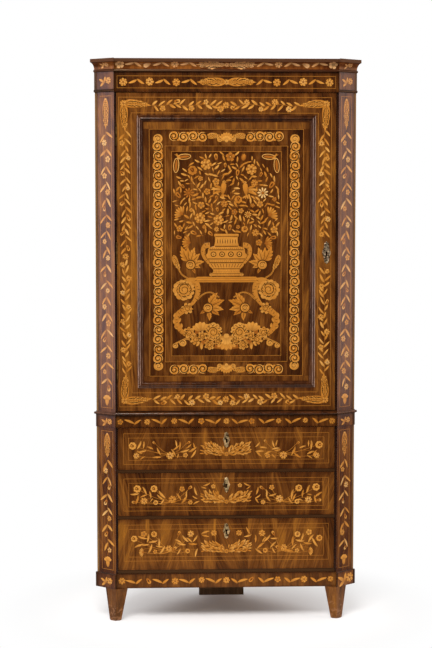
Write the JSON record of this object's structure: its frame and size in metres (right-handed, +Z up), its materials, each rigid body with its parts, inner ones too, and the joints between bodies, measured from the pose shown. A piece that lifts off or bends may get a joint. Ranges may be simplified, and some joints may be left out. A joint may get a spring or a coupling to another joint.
{
  "type": "corner cabinet",
  "caption": "Standing corner cabinet with canted corners, a panelled marquetry door over drawers, tapered feet and a back cut to fit a room corner.",
  "frame": {"origin": "middle of the footprint on the floor", "axes": "+Z up, +Y towards the room corner, -Y out of the door, +X to the right of someone facing it"},
  "size_m": [0.9826, 0.4688, 2.05],
  "materials": {
    "veneered_walnut": "polished veneer",
    "stained_walnut": "polished",
    "case_oak": "plain, aged",
    "cast_brass": "aged casting",
    "hinge_brass": "dull",
    "lock_iron": "dark iron"
  },
  "bodies": {
    "case": {"left_stile": "veneered_walnut", "right_stile": "veneered_walnut", "left_back_panel": "case_oak", "right_back_panel": "case_oak", "rear_board": "case_oak", "bottom_board": "case_oak", "dust_boards": "case_oak", "cupboard_floor": "case_oak", "lower_shelf": "case_oak", "upper_shelf": "case_oak", "shelf_bearers": "case_oak", "top_board": "case_oak", "frieze_rail": "veneered_walnut", "waist_rail": "veneered_walnut", "plinth": "veneered_walnut", "left_foot": "stained_walnut", "right_foot": "stained_walnut", "rear_foot": "case_oak", "drawer_runners": "case_oak", "hinge_case_leaves": "hinge_brass", "case_hinge_screws": "hinge_brass", "cornice": "stained_walnut", "waist_moulding": "stained_walnut", "frieze_returns": "veneered_walnut", "waist_returns": "veneered_walnut"},
    "door": {"door_hinge_stile": "veneered_walnut", "door_lock_stile": "veneered_walnut", "door_top_rail": "veneered_walnut", "door_bottom_rail": "veneered_walnut", "door_panel": "veneered_walnut", "door_mouldings": "stained_walnut", "hinge_door_leaves": "hinge_brass", "door_hinge_screws": "hinge_brass", "door_lock": "lock_iron", "door_escutcheon": "cast_brass"},
    "door_bolt": {"door_lock_bolt": "lock_iron"},
    "drawer_1": {"drawer_1_front": "veneered_walnut", "drawer_1_sides": "case_oak", "drawer_1_back": "case_oak", "drawer_1_bottom": "case_oak", "drawer_1_guide": "case_oak", "drawer_1_lock": "lock_iron", "drawer_1_escutcheon": "cast_brass"},
    "drawer_1_bolt": {"drawer_1_lock_bolt": "lock_iron"},
    "drawer_2": {"drawer_2_front": "veneered_walnut", "drawer_2_sides": "case_oak", "drawer_2_back": "case_oak", "drawer_2_bottom": "case_oak", "drawer_2_guide": "case_oak", "drawer_2_lock": "lock_iron", "drawer_2_escutcheon": "cast_brass"},
    "drawer_2_bolt": {"drawer_2_lock_bolt": "lock_iron"},
    "drawer_3": {"drawer_3_front": "veneered_walnut", "drawer_3_sides": "case_oak", "drawer_3_back": "case_oak", "drawer_3_bottom": "case_oak", "drawer_3_guide": "case_oak", "drawer_3_lock": "lock_iron", "drawer_3_escutcheon": "cast_brass"},
    "drawer_3_bolt": {"drawer_3_lock_bolt": "lock_iron"}
  },
  "joints": [
    {"name": "door_hinge", "type": "hinge", "parent": "case", "child": "door", "pos_m": [-0.398, -0.19587, 1.3525], "axis": [0, 0, -1], "range_deg": [0, 120]},
    {"name": "door_bolt_slide", "type": "slide", "parent": "door", "child": "door_bolt", "axis": [1, 0, 0], "range_m": [0, 0.01]},
    {"name": "drawer_1_slide", "type": "slide", "parent": "case", "child": "drawer_1", "axis": [0, -1, 0], "range_m": [0, 0.3]},
    {"name": "drawer_1_bolt_slide", "type": "slide", "parent": "drawer_1", "child": "drawer_1_bolt", "axis": [0, 0, 1], "range_m": [0, 0.0065]},
    {"name": "drawer_2_slide", "type": "slide", "parent": "case", "child": "drawer_2", "axis": [0, -1, 0], "range_m": [0, 0.3]},
    {"name": "drawer_2_bolt_slide", "type": "slide", "parent": "drawer_2", "child": "drawer_2_bolt", "axis": [0, 0, 1], "range_m": [0, 0.0065]},
    {"name": "drawer_3_slide", "type": "slide", "parent": "case", "child": "drawer_3", "axis": [0, -1, 0], "range_m": [0, 0.3]},
    {"name": "drawer_3_bolt_slide", "type": "slide", "parent": "drawer_3", "child": "drawer_3_bolt", "axis": [0, 0, 1], "range_m": [0, 0.0065]}
  ]
}
